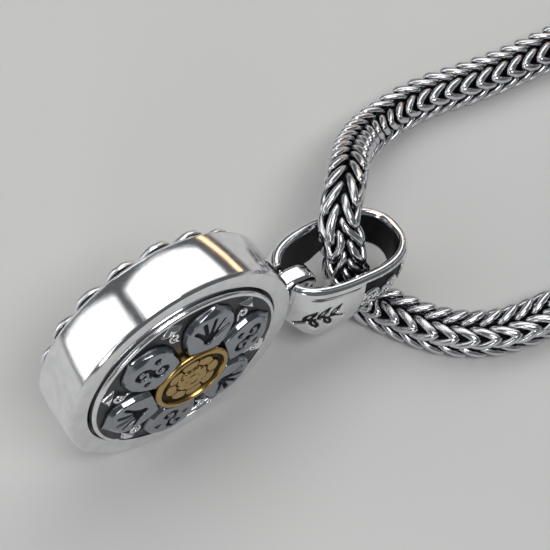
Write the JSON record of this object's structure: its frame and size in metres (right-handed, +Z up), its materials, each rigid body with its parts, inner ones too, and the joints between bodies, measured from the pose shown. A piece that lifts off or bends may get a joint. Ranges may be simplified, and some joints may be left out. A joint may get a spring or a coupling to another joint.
{
  "type": "prayer wheel pendant",
  "caption": "Silver prayer wheel pendant with a turning lotus wheel and gilt bosses, hung by a leaf-shaped bail on a foxtail chain.",
  "frame": {"origin": "on the surface below the middle of the pendant and its bail, measured without the chain", "axes": "+X from the wheel to the bail, -Y towards the lotus face, +Z up; the wheel's axle lies along Y"},
  "size_m": [0.1127, 0.0557, 0.025],
  "materials": {
    "polished_silver": "polished, with fine scratches",
    "satin_silver": "satin",
    "oxidised_silver": "darkened and matt",
    "chain_silver": "polished on the outside of the links, darkened between them",
    "gilt": "polished gold plate",
    "bronze": "plain bearing metal",
    "scroll_paper": "tightly rolled paper"
  },
  "bodies": {
    "necklace": {"bail": "polished_silver", "bail_neck": "polished_silver", "chain_upper": "chain_silver", "chain_lower": "chain_silver", "coil_lower": "chain_silver", "coil_upper": "chain_silver", "clasp_tail": "chain_silver", "ring_tail": "chain_silver", "clasp_end_cap": "polished_silver", "ring_end_cap": "polished_silver", "clasp_jump_ring": "polished_silver", "ring_jump_ring": "polished_silver", "end_ring": "polished_silver", "clasp_body": "polished_silver", "clasp_pin": "polished_silver", "clasp_spring": "satin_silver"},
    "clasp_lever": {"clasp_lever": "polished_silver"},
    "casing": {"rim_band": "polished_silver", "front_bezel": "polished_silver", "back_bezel": "polished_silver", "web_plate": "satin_silver", "bush": "bronze", "eye_loop": "polished_silver"},
    "wheel": {"axle": "satin_silver", "front_washer": "bronze", "back_washer": "bronze", "front_collar": "satin_silver", "back_collar": "satin_silver", "front_scroll": "scroll_paper", "back_scroll": "scroll_paper", "lotus_disc": "oxidised_silver", "front_border": "polished_silver", "lotus_petals": "polished_silver", "lotus_curls": "polished_silver", "front_boss": "gilt", "front_emblem": "gilt", "back_disc": "oxidised_silver", "back_scallops": "polished_silver", "back_ring": "polished_silver", "wheel_spokes": "polished_silver", "back_boss": "gilt"}
  },
  "joints": [
    {"name": "pendant_swing", "type": "hinge", "parent": "necklace", "child": "casing", "pos_m": [0.00627, 0, 0.00897], "axis": [0, 1, 0], "range_deg": [-20, 20]},
    {"name": "wheel_spin", "type": "hinge", "parent": "casing", "child": "wheel", "pos_m": [-0.0079, 0, 0.0125], "axis": [0, 1, 0], "continuous": true},
    {"name": "clasp_lever_swing", "type": "hinge", "parent": "necklace", "child": "clasp_lever", "pos_m": [0.06332, -0.01706, 0.002], "axis": [0, 0, 1], "range_deg": [-20, 0], "stiffness_Nm_per_rad": 0.0008, "springref_deg": 5.73}
  ]
}
